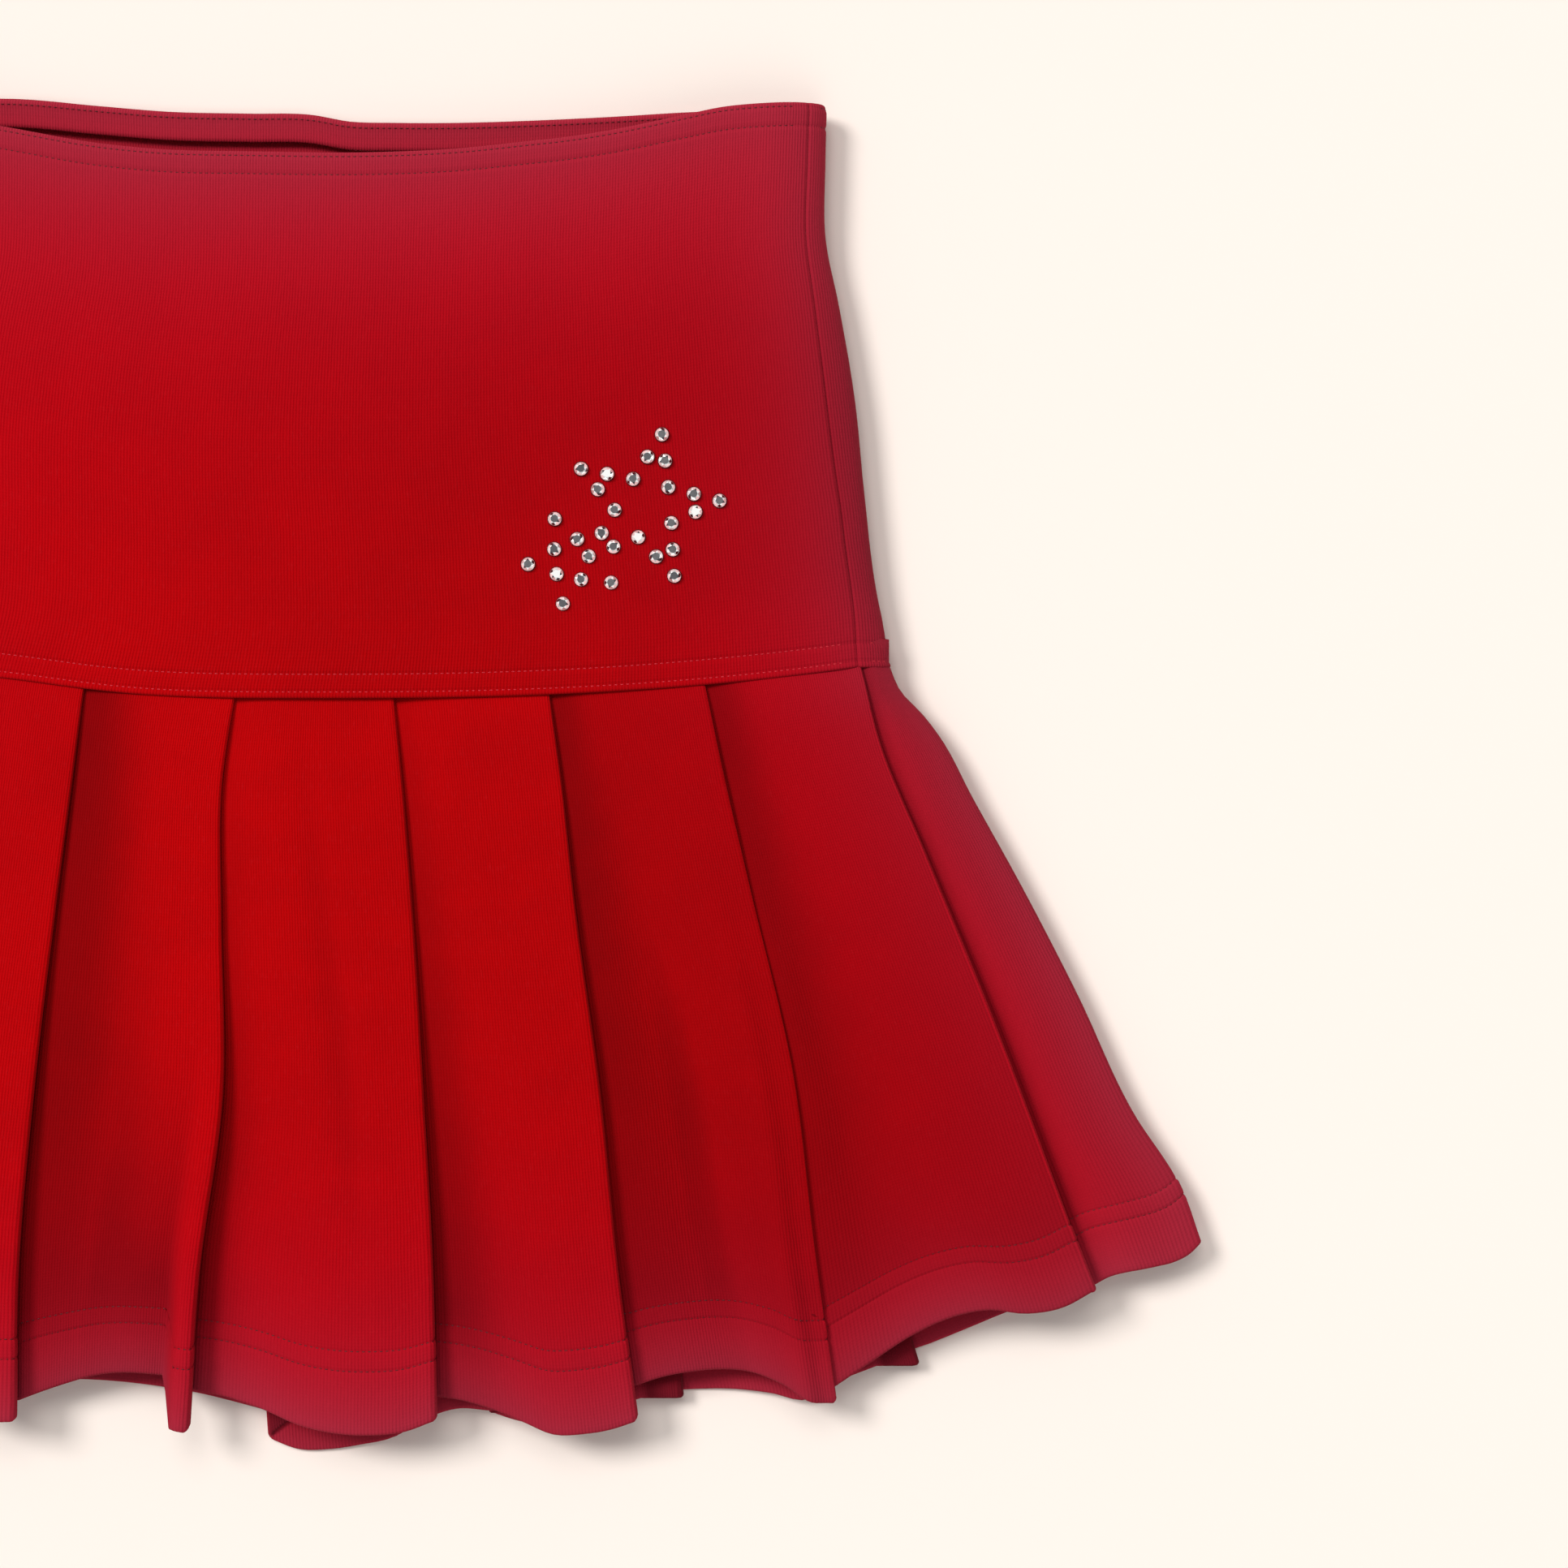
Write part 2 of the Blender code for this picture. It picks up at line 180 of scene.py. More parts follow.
# Painted shade over a whole panel, a darker red at seam and hem
PANEL_PAINTED_SHADE = (
    (0.05, 0.1), (0.05, 0.1), (0.0, 0.05), (0.08, 0.2), (0.12, 0.3), (0.33, 0.66), (0.26, 0.66), (0.2, 0.25),
)
YOKE_PAINTED_SHADE = 0.4  # painted shade, a darker red over the lower right of the yoke
# A fold's crest and the cloth under it on the way to the hem: shares, and heights in millimetres
FOLD_RAMP = (0, 0.02, 0.05, 0.12, 0.35, 0.65, 1)
CREST_TOP = (SEAM_CREST, 5.8, 6.4, 6.9)
LOW_TOP = (SEAM_LOW, 3.9, 4.2, 4.3, 3.7)
LYING_CREST = 7.2  # the most at mid-length
SIDE_HEIGHT = 0.1  # millimetres from the middle plane, at the flounce's sides
SIDE_CROWD = 1.8  # power that crowds columns towards the sides
PANEL_BUNCH = 0.06  # how far the columns of a panel crowd towards its folds
FOLD_BEND = 1.0  # millimetres, how far a fold bulges past the end of its panel
PLEAT_DEPTH = (18, 11)  # millimetres, at the seam and at the hem
FRONT_DEPTH_HEM = (11, 11, 5, 11, 11, 4.5, 11)
# Swells: panel, place at seam and hem, width before and after it, height at shares 0.15, 0.5 and 1
FRONT_SWELLS = (
    (0, 0.55, 0.6, 0.22, 0.22, -0.8, -2.0, -3.0),
    (1, 0.5, 0.55, 0.22, 0.2, -0.3, -1.0, -2.5),
    (2, 0.42, 0.5, 0.25, 0.2, -0.4, -1.2, -2.4),
    (2, 0.83, 0.865, 0.34, 0.06, 0, -0.3, -3.4),
    (3, 0.44, 0.76, 0.1, 0.1, -0.5, -0.9, -0.1),
    (5, 0.3, 0.5, 0.16, 0.2, -0.5, -2.2, -2.6),
    (5, 0.8, 0.88, 0.07, 0.05, 0, 0.7, 1.8),
    (6, 0.14, 0.26, 0.1, 0.2, -0.5, -1.6, -0.6),
)
HEM_ROWS = (16.9 * MM, 22.5 * MM)
HEM_TURN = 24.5 * MM
HEM_FOLD = 0.5 * MM
HEM_PROUD = 0.25 * MM  # how far the doubled hem stands out

SEAM_ALLOWANCE = 9 * MM  # assumed: an overlocked seam in knit
YOKE_TUCK = 8 * MM  # of the yoke's lower edge, turned under

# How far the painted sheen reaches in from a border
PAINTED_SHEEN_REACH = 14 * MM
THREAD = 0.2 * MM
STITCH_PITCH = 1.65 * MM
STITCH_LENGTH = 1.15 * MM
STITCH_SIDES = 6
PROBE = 0.3 * MM  # to the lines beside a stitch row that give the cloth's slope

BAND_TOP = 2.0 * MM
BAND_WIDTH = 6 * MM
BAND_HALF = 0.6 * MM  # half its thickness

STONE_COUNT = 28
STONE_RADIUS = 2.0 * MM
STONE_SINK = 0.3 * MM  # into the cloth


def through(knots, at):
    """Smooth curve through (place, value) knots: cubics whose slopes are those of the knots' neighbours."""
    place, value = np.array(knots, float).T
    slope = np.gradient(value, place)
    i = np.clip(np.searchsorted(place, at) - 1, 0, len(place) - 2)
    span = place[i + 1] - place[i]
    s = np.clip((at - place[i]) / span, 0, 1)
    start = (1 + 2 * s) * (1 - s) ** 2 * value[i] + s * (1 - s) ** 2 * span * slope[i]
    end = s * s * (3 - 2 * s) * value[i + 1] - s * s * (1 - s) * span * slope[i + 1]
    return start + end


def ease(value, low, high):
    """0 below low, 1 above high, and 3s^2 - 2s^3 between them."""
    s = np.clip((value - low) / (high - low), 0, 1)
    return s * s * (3 - 2 * s)


def section(run, half):
    """x, z and outward direction on the flat loop, this far round it from the middle of the front.

    Flat at height SHELL up to CORNER from the side, then a half-ellipse, then flat below.
    """
    side, far = np.sign(run), np.abs(run)
    flat = half - CORNER
    turn = np.interp(far - flat, TURN_LENGTH, TURN)
    past = np.maximum(far - flat - TURN_LENGTH[-1], 0)
    x = np.minimum(far, flat) + CORNER * np.sin(turn) - past
    z = SHELL * np.cos(turn)
    out_x, out_z = np.sin(turn) / CORNER, np.cos(turn) / SHELL
    length = np.hypot(out_x, out_z)
    return side * x, z, side * out_x / length, out_z / length


def seam_y(x):
    """Height of the yoke seam: a power curve that rises to the sides, and a soft lift at the left."""
    lift, place, width = SEAM_LIFT
    rise = SEAM_RISE * np.minimum(np.abs(x) / YOKE_HALF, 1) ** SEAM_POWER
    return SEAM_Y + rise + lift * np.exp(-(((x - place) / width) ** 2))


def set_down(points, turned):
    """Points about the middle plane, half-turned about Y for the back, at their height."""
    way = -1 if turned else 1
    return points * (way, 1, way) + (0, 0, MIDDLE)


def painted_sheen_by_border(*distances):
    """Painted sheen: 1 at a border and fading with the distance from it, 1 minus the product of 1 - exp(-d / reach).
    """
    rest = 1.0
    for distance in distances:
        rest = rest * (1 - np.exp(-distance / PAINTED_SHEEN_REACH))
    return 1 - rest


def surface_mesh(name, points, uv, finish, tone):
    """A mesh of quads on a grid of points (rows, columns, 3), with the grain as its UV map and
    tone, the painted sheen and the painted shade at each point, as attributes."""
    rows, columns = points.shape[:2]
    index = np.arange(rows * columns).reshape(rows, columns)
    quads = np.stack([index[:-1, :-1], index[1:, :-1], index[1:, 1:], index[:-1, 1:]], -1)
    piece = solid_mesh(name, points.reshape(-1, 3), quads.reshape(-1, 4), finish, uv.reshape(-1, 2))
    for title, values in zip(("painted_sheen", "painted_shade"), tone):
        values = np.ascontiguousarray(np.broadcast_to(values, (rows, columns)), np.float32)
        piece.data.attributes.new(title, "FLOAT", "POINT").data.foreach_set("value", values.ravel())
    return piece


def solid_mesh(name, points, faces, finish, uv=None):
    mesh = bpy.data.meshes.new(name)
    mesh.from_pydata(points, [], faces)
    mesh.materials.append(finish)
    mesh.shade_smooth()
    if uv is not None:
        corner = np.empty(len(mesh.loops), np.int32)
        mesh.loops.foreach_get("vertex_index", corner)
        mesh.uv_layers.new(name="grain").data.foreach_set("uv", uv[corner].ravel())
    piece = bpy.data.objects.new(name, mesh)
    bpy.context.scene.collection.objects.link(piece)
    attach(piece, "root")
    return piece


def thicken(piece):
    """Gives cloth its thickness, half to each side of the surface."""
    shell = piece.modifiers.new("cloth", "SOLIDIFY")
    shell.thickness = CLOTH
    shell.offset = 0
    return piece


# Yoke


class Half:
    """What sets the front apart from the back."""

    def __init__(self, turned, waist, folds, hem, crest, low, depth, swells, tongue, ripple, painted_shade):
        self.turned, self.waist, self.folds, self.hem = turned, waist, folds, hem
        self.crest, self.low, self.depth, self.swells = crest, low, depth, swells
        self.tongue, self.ripple, self.painted_shade = tongue, ripple, painted_shade
        self.name = "back" if turned else "front"


FRONT = Half(
    False, FRONT_WAIST, FRONT_FOLDS, FRONT_HEM, FRONT_CREST, FRONT_LOW, FRONT_DEPTH_HEM,
    FRONT_SWELLS, TONGUE, ROLL_HEIGHT, FRONT_PAINTED_SHADE,
)
BACK = Half(
    True, BACK_WAIST, BACK_FOLDS, BACK_HEM, BACK_CREST, BACK_LOW, (PLEAT_DEPTH[1],) * 7,
    (), None, 0, BACK_PAINTED_SHADE,
)


def yoke_points(half, across, down, inset):
    """Points of the yoke's cloth: across is 0 at the left seam and 1 at the right, down is the
    distance below the waist edge, and inset moves a point inwards from the outer layer.

    The seams lie forward of the right side's edge and behind the left one's. Cloth dives
    into a seam by a quadratic curl, and into a stitch row by a narrow bell.
    """
    share = np.clip(down / YOKE_LENGTH, 0, 1)
    width = through(SIDE_OF_YOKE, share) * MM - CLOTH / 2
    to_seam = CORNER - through(SEAM_IN, share) * MM
    forward = SIDE_LENGTH - np.interp(np.arcsin(to_seam / CORNER), TURN, TURN_LENGTH)
    edge = width - CORNER + SIDE_LENGTH
    left, right = -edge - forward + SEAM_GAP / 2, edge - forward - SEAM_GAP / 2
    run = left + (right - left) * across
    x, z, out_x, out_z = section(run, width)
    world_x = -x if half.turned else x
    waist = TOP_Y + through(half.waist, world_x / MM) * MM
    y = waist + (seam_y(world_x) - waist) * down / YOKE_LENGTH
    to_edge = np.minimum(run - left, right - run)
    inset = inset + SEAM_SINK * ease(share, SINK_FROM, 1)
    inset = inset + CURL * np.maximum(0, 1 - to_edge / CURL_REACH) ** 2
    for row in (*WAIST_ROWS, YOKE_LENGTH - YOKE_ROWS[0], YOKE_LENGTH - YOKE_ROWS[1]):
        inset = inset + GROOVE * np.exp(-(((down - row) / GROOVE_WIDTH) ** 2))
    wide, slanting, fine = (
        weight * np.sin(x / over + y / along + phase) for over, along, phase, weight in ROLLS
    )
    roll = wide + slanting + fine * ease(share, 0.1, 0.6)
    inset = inset - half.ripple * roll * np.maximum(out_z, 0) ** 3
    points = np.stack([x - out_x * inset, y, z - out_z * inset], -1)
    return set_down(points, half.turned)


def turned_edge(radius, angles):
    """Distance past the fold's middle and inset round a turned edge, for angles from outer to inner."""
    turn = np.radians(angles)
    return radius * np.cos(turn), radius * (1 - np.sin(turn))


def yoke_cloth(half, finish):
    """The yoke's half: casing turned in at the waist, outer layer, and lower edge turned under."""
    past, fold = turned_edge(CASING_FOLD, np.linspace(-90, 90, 11))
    inner = np.linspace(CASING_DEPTH, CASING_FOLD + CLOTH, INNER_ROWS)
    past_fold = CASING_FOLD + CLOTH / 2 + 0.4 * MM  # a row nearer to the fold would turn back on itself
    outer = np.concatenate([
        np.linspace(past_fold, 9 * MM, 14), np.linspace(11 * MM, 154 * MM, 62),
        np.linspace(155.5 * MM, YOKE_LENGTH, 16),
    ])
    below, under = turned_edge(EDGE_FOLD, np.linspace(60, -90, 6))
    tuck = np.linspace(1.5 * MM, YOKE_TUCK, TUCK_ROWS)
    down = np.concatenate([
        inner, CASING_FOLD - past + CLOTH / 2, outer, YOKE_LENGTH + below, YOKE_LENGTH - tuck,
    ])
    inset = np.concatenate([
        np.full(INNER_ROWS, 2 * CASING_FOLD), fold, np.zeros(len(outer)), under,
        np.full(TUCK_ROWS, 2 * EDGE_FOLD),
    ])
    q = np.linspace(0, 1, YOKE_COLUMNS)
    across = q - YOKE_BUNCH * np.sin(2 * math.pi * q)
    points = yoke_points(half, across[None, :], down[:, None], inset[:, None])
    run = np.cumsum(np.abs(np.gradient(down)))
    u = np.broadcast_to(across * 2 * YOKE_HALF, points.shape[:2])
    v = np.broadcast_to(run[:, None], points.shape[:2])
    share = np.clip(down / YOKE_LENGTH, 0, 1)[:, None]
    width = through(SIDE_OF_YOKE, share) * MM
    # Painted sheen, paler towards the sides and below the waist
    painted_sheen = painted_sheen_by_border(np.maximum(width - np.abs(points[..., 0]), 0), PAINTED_SHEEN_DOWN * down[:, None])
    # Painted shade, darker towards the lower right of the yoke
    lower = ease(share, 0.05, 0.55) * (1 - 0.35 * ease(share, 0.8, 1))
    tone = painted_sheen, YOKE_PAINTED_SHADE * lower * ease(points[..., 0], -110 * MM, 90 * MM)
    return thicken(surface_mesh(f"yoke_{half.name}_cloth", points, np.stack([u, v], -1), finish, tone))


# Flounce

VISIBLE = np.linspace(0, 1, 34)
HIDDEN = np.linspace(0, 1, 5)[1:-1]


def fold_at(half, i, t):
    """x, crest height, low height and depth of fold i at share t down: knots at the seam, then
    towards the hem's own values."""
    x = through(list(zip(FOLD_SHARES, half.folds[i])), t)
    crest_hem, low_hem = half.crest[i], half.low[i]
    lying = min(crest_hem, LYING_CREST)
    crests = (*CREST_TOP, lying, (lying + crest_hem) / 2, crest_hem)
    lows = (*LOW_TOP, 1.6 + low_hem / 2, low_hem)
    crest, low = (through(list(zip(FOLD_RAMP, heights)), t) for heights in (crests, lows))
    depth = PLEAT_DEPTH[0] + (half.depth[i] - PLEAT_DEPTH[0]) * np.clip(t, 0, 1)
    return x, crest, low, depth


def panel_swell(half, i, s, t):
    """Soft ridges and valleys of panel i: bells across it, with their own width on each side."""
    height = 0
    for panel, top, bottom, before, after, *heights in half.swells:
        if panel == i:
            centre = top + (bottom - top) * t
            wide = np.where(s < centre, before, after)
            tall = through(list(zip((0, 0.15, 0.5, 1), (0, *heights))), t)
            height = height + tall * np.exp(-(((s - centre) / wide) ** 2))
    return height * ease(s, 0, 0.1) * ease(1 - s, 0, 0.06)


def painted_shade_beside_fold(half, i, distance, t):
    """Painted shade of panel i: a bell exp(-(d / reach)^3) from the fold before it, over the panel's own painted
    shade.
    """
    near, far, short, long = half.painted_shade[i - 1]
    bell = np.exp(-((distance / (short + (long - short) * t)) ** 3))
    base, end = PANEL_PAINTED_SHADE[i]
    whole = base + (end - base) * t
    return whole + (1 - whole) * (near + (far - near) * t) * bell


def flounce_points(half, t):
    """Points (rows, columns, 3) of the pleated strip at shares t from the seam to the hem.

    Each panel starts under the fold before it, rises by 1 - (1 - s)^k to its own fold, turns
    under in a half-ellipse, runs back by the pleat's depth and turns again into the next.
    A column runs straight from seam to hem; the hem's waves grow with the cube of t.
    """
    t = np.atleast_1d(t).astype(float)[:, None]
    at = np.clip(t, 0, 1)
    wide = through(SIDE_OF_FLOUNCE, at)
    xs, zs, hems, painted_shade = [], [], [], []

    # deep is the painted shade at these points; cloth hidden under a fold gets it in full
    def add(x, z, hem, deep=1.0):
        x, z, deep = np.broadcast_arrays(x, z, deep)
        painted_shade.append(deep)
        xs.append(x)
        zs.append(z)
        hems.append(np.broadcast_to(hem, x.shape[1:]))

    slack = ease(at, 0.1, 0.85)  # 0 where the panels are pressed flat, 1 where they hang free
    lightens = 1 - 0.5 * ease(at, 0.86, 0.96)  # the painted shade halves towards the doubled hem
    for i in range(8):
        hem = list(zip(HEM_SHARES, half.hem[i]))
        if i:
            x0, crest0, low0, depth0 = fold_at(half, i - 1, at)
            bend = np.minimum((crest0 - low0) / 4, FOLD_BEND)
            back = x0 - depth0 + bend
            add(back + (x0 - back) * HIDDEN, low0, half.hem[i][0])
        s = VISIBLE - PANEL_BUNCH * np.sin(2 * math.pi * VISIBLE)
        if i == 0:
            x1, crest, low, depth = fold_at(half, 0, at)
            rise = (crest - low) / 4
            s = VISIBLE**SIDE_CROWD
            x = -wide + (x1 - np.minimum(rise, FOLD_BEND) + wide) * s
            corner = np.minimum(CORNER / MM, 0.4 * (wide + x1))
            lift = np.sqrt(np.maximum(0, 1 - (1 - np.minimum(1, (x + wide) / corner)) ** 2))
            z = SIDE_HEIGHT + (crest - SIDE_HEIGHT) * lift + panel_swell(half, 0, s, at)
            deep = 0.0
        elif i == 7:
            s = 1 - (1 - VISIBLE) ** SIDE_CROWD
            x = x0 + (wide - x0) * s
            billow = (1.4 + 1.2 * at) * np.sin(math.pi * np.minimum(1, s * 1.1)) ** 2 * (1 - s)
            z = SIDE_HEIGHT + (low0 + billow) * np.sqrt(1 - s**2.6)
            deep = lightens * painted_shade_beside_fold(half, i, x - x0, at)
        else:
            x1, crest, low, depth = fold_at(half, i, at)
            rise = (crest - low) / 4
            x = x0 + (x1 - np.minimum(rise, FOLD_BEND) - x0) * s
            climb = (1 - slack) * (1 - (1 - s) ** 6) + slack * ease(s, -0.05, 0.8)
            swell = panel_swell(half, i, s, at)
            z = low0 + (crest - low0) * climb + swell
            # Painted shade in the valleys of the swells, as well as beside the fold before the panel
            valley = np.clip(-swell / 3, 0, 0.8)
            deep = lightens * np.maximum(painted_shade_beside_fold(half, i, x - x0, at), valley)
        line = through(hem, s)
        if half.tongue and half.tongue[0] == i:
            _, place, side, drop = half.tongue
            line = line + drop * ease(s, place - side / 2, place + side)
        add(x, z, line, deep)
        if i < 7:
            next_hem = half.hem[i + 1][0]
            to_next = next_hem - line[-1]
            bend = np.minimum(rise, FOLD_BEND)
            turn = np.radians([60, 30, 0, -30, -60, -90])
            # The turn of the fold is painted in shade towards its underside
            add(
                x1 - bend + bend * np.cos(turn), crest - rise + rise * np.sin(turn),
                line[-1] + to_next * np.linspace(0.02, 0.3, 6), np.array([0, 0.05, 0.2, 0.6, 1, 1]),
            )
            back = x1 - depth + bend
            add(
                x1 - bend + (back - x1 + bend) * np.array([0.33, 0.67]), (crest + low) / 2,
                line[-1] + to_next * np.array([0.55, 0.8]),
            )
            turn = np.radians([90, 60, 30, 0, -30, -60, -90])
            add(back - bend * np.cos(turn), low + rise + rise * np.sin(turn), next_hem)
    x, z, hem = (np.concatenate(part, -1) * MM for part in (xs, zs, hems))
    way = -1 if half.turned else 1
    top = seam_y(way * x[:1])
    share = np.clip(np.abs(x) / (wide * MM), 0, 1)
    plain = SEAM_Y - FLOUNCE_LENGTH + PLAIN_HEM[0] + PLAIN_HEM[1] * share ** PLAIN_HEM[2]
    y = top + (plain - top) * t + (hem - plain) * at**3
    return np.stack([x, y, z], -1), np.concatenate(painted_shade, -1), wide * MM - np.abs(x)


def facing(points):
    """Outward directions on a grid of points, from the slopes along its rows and columns."""
    out = np.cross(np.gradient(points, axis=0), np.gradient(points, axis=1))
    return out / np.maximum(np.linalg.norm(out, axis=-1, keepdims=True), 1e-12)


def hem_relief(t):
    """The doubled hem stands a little proud, and each coverstitch row pulls in a groove."""
    up = (1 - t) * FLOUNCE_LENGTH
    relief = HEM_PROUD * ease(-up, -HEM_ROWS[1] - 1 * MM, -HEM_ROWS[1] + 1 * MM)
    for row in HEM_ROWS:
        relief = relief - GROOVE * np.exp(-(((up - row) / GROOVE_WIDTH) ** 2))
    return relief


def flounce_cloth(half, finish):
    """The pleated strip with its hem turned in: outer layer, a round edge, and the turned layer."""
    beside_row = np.array([-1.2, -0.7, -0.35, 0, 0.35, 0.7, 1.2]) * MM
    stitched = [1 - (row + beside_row) / FLOUNCE_LENGTH for row in HEM_ROWS]
    t = np.sort(np.concatenate([
        [-0.045, -0.03, -0.015, 0, 0.012, 0.025, 0.04], np.linspace(0.055, 0.86, 50),
        [0.872, 0.934, 0.947], np.linspace(0.958, 1, 9), *stitched,
    ]))
    outer, painted_shade, from_side = flounce_points(half, t)
    out = facing(outer)
    outer = outer + out * hem_relief(t)[:, None, None]
    down = outer[-1] - outer[-2]
    down /= np.linalg.norm(down, axis=-1, keepdims=True)
    below, under = turned_edge(HEM_FOLD, np.array([50, 20, -20, -50]))
    edge = outer[-1] + down * below[:, None, None] - out[-1] * under[:, None, None]
    back = np.flatnonzero((1 - t) * FLOUNCE_LENGTH < HEM_TURN)[::-3]
    inner = outer[back] - out[back] * 2 * HEM_FOLD
    points = np.concatenate([outer, edge, inner])
    middle_row = outer[len(t) // 2][:, ::2]  # x and z only, so that a dip in the hem doesn't squeeze the ribs
    steps = np.linalg.norm(np.diff(middle_row, axis=0), axis=-1)
    u = np.concatenate([[0], np.cumsum(steps)])
    v = np.concatenate([t * FLOUNCE_LENGTH, FLOUNCE_LENGTH + below, (2 - t[back]) * FLOUNCE_LENGTH])
    grid = np.broadcast_arrays(u[None, :], v[:, None])
    points = set_down(points, half.turned)
    rows = np.concatenate([np.arange(len(t)), np.full(len(edge), len(t) - 1), back])
    # Painted sheen towards the sides and the hem, and the painted shade of the pleats
    tone = painted_sheen_by_border(from_side[rows], np.abs(FLOUNCE_LENGTH - v)[:, None]), painted_shade[rows]
    return thicken(surface_mesh(f"flounce_{half.name}_cloth", points, np.stack(grid, -1), finish, tone))


# Stitches


def stitch_row(name, lines, finish):
    """Stitches along the middle one of three neighbouring lines on a surface.

    Each stitch is a low bead: six-sided rings, whose size follows sqrt(1 - a^4) along it.
    """
    line = lines[1]
    gap = np.linalg.norm(np.diff(line, axis=0), axis=-1)
    run = np.concatenate([[0], np.cumsum(gap)])
    count = int(run[-1] / STITCH_PITCH)
    centre = (np.arange(count) + 0.5) * STITCH_PITCH

    def sample(values):
        return np.stack([np.interp(centre, run, values[:, k]) for k in range(3)], -1)

    along = sample(np.gradient(line, axis=0))
    along /= np.linalg.norm(along, axis=-1, keepdims=True)
    out = np.cross(sample(lines[2] - lines[0]), along)
    out /= np.linalg.norm(out, axis=-1, keepdims=True)
    beside = np.cross(out, along)
    stations = np.array([-1, -0.75, 0, 0.75, 1])
    size = np.array([0.35, 0.85, 1, 0.85, 0.35]) * THREAD
    angle = np.arange(STITCH_SIDES) * 2 * math.pi / STITCH_SIDES
    a, ring = np.meshgrid(stations * STITCH_LENGTH / 2, angle, indexing="ij")
    radius = size[:, None] * np.ones(STITCH_SIDES)
    sink = 0.6 * THREAD * (stations[:, None] ** 2)
    place = (
        sample(line)[:, None, None]
        + along[:, None, None] * a[None, ..., None]
        + beside[:, None, None] * (radius * np.cos(ring))[None, ..., None]
        + out[:, None, None] * (0.75 * radius * np.sin(ring) - sink)[None, ..., None]
    )
    index = np.arange(count * len(stations) * STITCH_SIDES).reshape(count, len(stations), STITCH_SIDES)
    after = np.roll(index, -1, axis=2)
    sides = np.stack([index[:, :-1], index[:, 1:], after[:, 1:], after[:, :-1]], -1).reshape(-1, 4)
    caps = np.concatenate([index[:, 0, :], index[:, -1, ::-1]])
    piece = solid_mesh(name, place.reshape(-1, 3), [*sides.tolist(), *caps.tolist()], finish)
    return piece


def yoke_stitches(name, half, down, finish, inset=0.0, inside=False):
    """A row across a yoke half, on its outer face, or inside the casing's inner layer."""
    across = np.linspace(0.012, 0.988, 500)[None, :]
    near = np.array([down - PROBE, down, down + PROBE])[:, None]
    face = inset + (CLOTH / 2 if inside else -CLOTH / 2)
    lines = yoke_points(half, across, near, np.full((3, 1), face))
    return stitch_row(name, lines[::-1] if inside else lines, finish)


def hem_stitches(name, half, up, finish):
    """A coverstitch row along the hem, through every pleat."""
    step = PROBE / FLOUNCE_LENGTH
    t = 1 - up / FLOUNCE_LENGTH + np.array([-step, 0, step])
    grid, _, _ = flounce_points(half, t)
    lines = grid + facing(grid) * (CLOTH / 2 + hem_relief(t)[:, None, None])
    return stitch_row(name, set_down(lines, half.turned), finish)


# Elastic


def elastic_band(finish):
    """A closed band in the casing: a thin rounded section carried round the flat loop."""
    width = SIDE_OF_YOKE[0][1] * MM - CLOTH / 2
    edge = width - CORNER + SIDE_LENGTH
    run = np.linspace(-edge, edge, 160, endpoint=False)[:, None]
    deep = CASING_FOLD + BAND_HALF * np.array([-1, -1, -0.6, 0.6, 1, 1, 0.6, -0.6])
    down = BAND_TOP + BAND_WIDTH * np.array([0.06, 0.94, 1, 1, 0.94, 0.06, 0, 0])
    loops = []
    for half in (FRONT, BACK):
        x, z, out_x, out_z = section(run, width)
        world_x = -x if half.turned else x
        y = TOP_Y + through(half.waist, world_x / MM) * MM - down
        points = np.stack(np.broadcast_arrays(x - out_x * deep, y, z - out_z * deep), -1)
        loops.append(set_down(points, half.turned))
    points = np.concatenate(loops)
    count = len(points)
    index = np.arange(count * 8).reshape(count, 8)
    after, beside = np.roll(index, -1, 0), np.roll(index, -1, 1)
    quads = np.stack([index, beside, np.roll(after, -1, 1), after], -1).reshape(-1, 4)
    piece = solid_mesh("waist_elastic_band", points.reshape(-1, 3), quads, finish)
    return piece


# Stones


